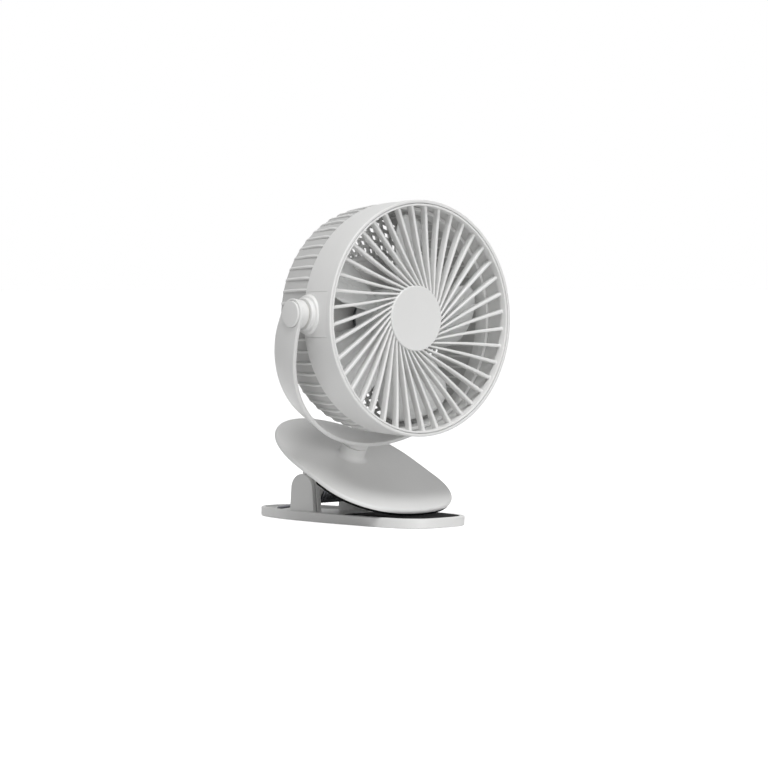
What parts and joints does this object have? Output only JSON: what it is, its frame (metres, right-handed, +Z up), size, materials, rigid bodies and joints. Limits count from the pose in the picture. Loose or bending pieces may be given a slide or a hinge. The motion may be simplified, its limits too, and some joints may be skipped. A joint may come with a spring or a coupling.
{
  "type": "clip fan",
  "caption": "Small clip-on fan: a caged round head tilts in a circular yoke that swivels on the upper jaw of a sprung clip, whose flat lower jaw is also its foot.",
  "frame": {"origin": "on the flat underside of the lower jaw, half way along it", "axes": "+X towards the nose of the clip, +Z up, -Y to the left of someone who faces the fan"},
  "size_m": [0.166, 0.179, 0.2092],
  "materials": {
    "white_shell": "satin moulded ABS, off-white",
    "white_trim": "satin moulded ABS, off-white",
    "white_grille": "satin moulded ABS, off-white",
    "inner_plastic": "matt nylon",
    "blade_plastic": "glossy moulded blades",
    "black_rubber": "matt black rubber",
    "dark_spring": "black-phosphated spring wire",
    "bright_steel": "zinc-plated steel",
    "board": "green solder mask",
    "cell_wrap": "shrink wrap",
    "lens": "frosted clear plastic"
  },
  "bodies": {
    "lower_clip": {"lower_jaw": "white_shell", "lower_jaw_pad": "black_rubber", "hinge_pin": "bright_steel", "torsion_spring": "dark_spring"},
    "upper_clip": {"upper_jaw": "white_shell", "upper_jaw_pad": "black_rubber", "neck_cover": "white_shell"},
    "yoke": {"yoke": "white_shell", "swivel_washer": "bright_steel", "swivel_screw": "bright_steel", "pivot_cap_left": "white_trim", "pivot_cap_right": "white_trim"},
    "head": {"pivot_boss_left": "white_shell", "pivot_boss_right": "white_shell", "pivot_screw_left": "bright_steel", "pivot_screw_right": "bright_steel", "friction_washer_left": "inner_plastic", "friction_washer_right": "inner_plastic", "drum_band": "white_shell", "front_grille": "white_grille", "front_cap": "white_trim", "rear_cage": "white_grille", "rear_housing": "white_shell", "rear_cover": "white_shell", "cover_screw_1": "bright_steel", "cover_screw_2": "bright_steel", "cover_screw_3": "bright_steel", "battery_cell": "cell_wrap", "circuit_board": "board", "usb_socket": "bright_steel", "push_switch": "black_rubber", "indicator_lens": "lens", "motor_can": "bright_steel"},
    "impeller": {"impeller": "blade_plastic", "motor_shaft": "bright_steel"},
    "button": {"power_button": "white_trim"}
  },
  "joints": [
    {"name": "clip_open", "type": "hinge", "parent": "lower_clip", "child": "upper_clip", "pos_m": [-0.0247, 0, 0.0205], "axis": [0, -1, 0], "range_deg": [0, 28], "stiffness_Nm_per_rad": 1.5, "springref_deg": -34.38, "deforming": ["torsion_spring"]},
    {"name": "yoke_swivel", "type": "hinge", "parent": "upper_clip", "child": "yoke", "pos_m": [0.03902, 0, 0.13284], "axis": [0.4385, 0, 0.8987], "continuous": true},
    {"name": "head_tilt", "type": "hinge", "parent": "yoke", "child": "head", "pos_m": [0.03902, 0, 0.13284], "axis": [0.0888, 0.9951, -0.0433], "continuous": true},
    {"name": "fan_spin", "type": "hinge", "parent": "head", "child": "impeller", "pos_m": [0.03902, 0, 0.13284], "axis": [0.9959, -0.088, 0.019], "continuous": true},
    {"name": "power_press", "type": "slide", "parent": "head", "child": "button", "axis": [0.9959, -0.088, 0.019], "range_m": [0, 0.0005], "stiffness_N_per_m": 400}
  ]
}
